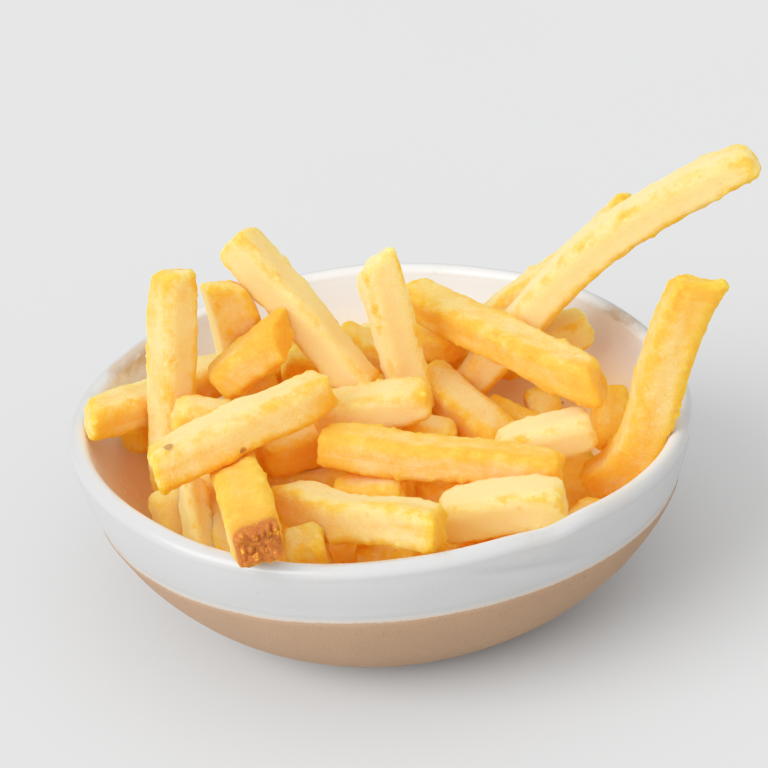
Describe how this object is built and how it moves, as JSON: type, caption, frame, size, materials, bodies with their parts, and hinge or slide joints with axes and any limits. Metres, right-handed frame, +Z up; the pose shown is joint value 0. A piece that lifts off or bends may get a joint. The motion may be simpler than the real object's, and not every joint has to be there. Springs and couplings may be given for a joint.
{
  "type": "french fries portion",
  "caption": "A heap of thick-cut french fries in a handmade stoneware bowl, with one long curved fry reaching out over the side",
  "frame": {"origin": "The centre of the bowl's flat foot, on the surface that it stands on.", "axes": "+Z is up, out of the bowl's mouth. -Y is the front, where a browned fry end lies over the rim. +X is the side that the long curved fry reaches out over."},
  "size_m": [0.1523, 0.1351, 0.0952],
  "materials": {
    "stoneware": "satin",
    "fried_potato": "matte"
  },
  "bodies": {
    "root": {"bowl": "stoneware", "fries": "fried_potato"}
  },
  "joints": []
}
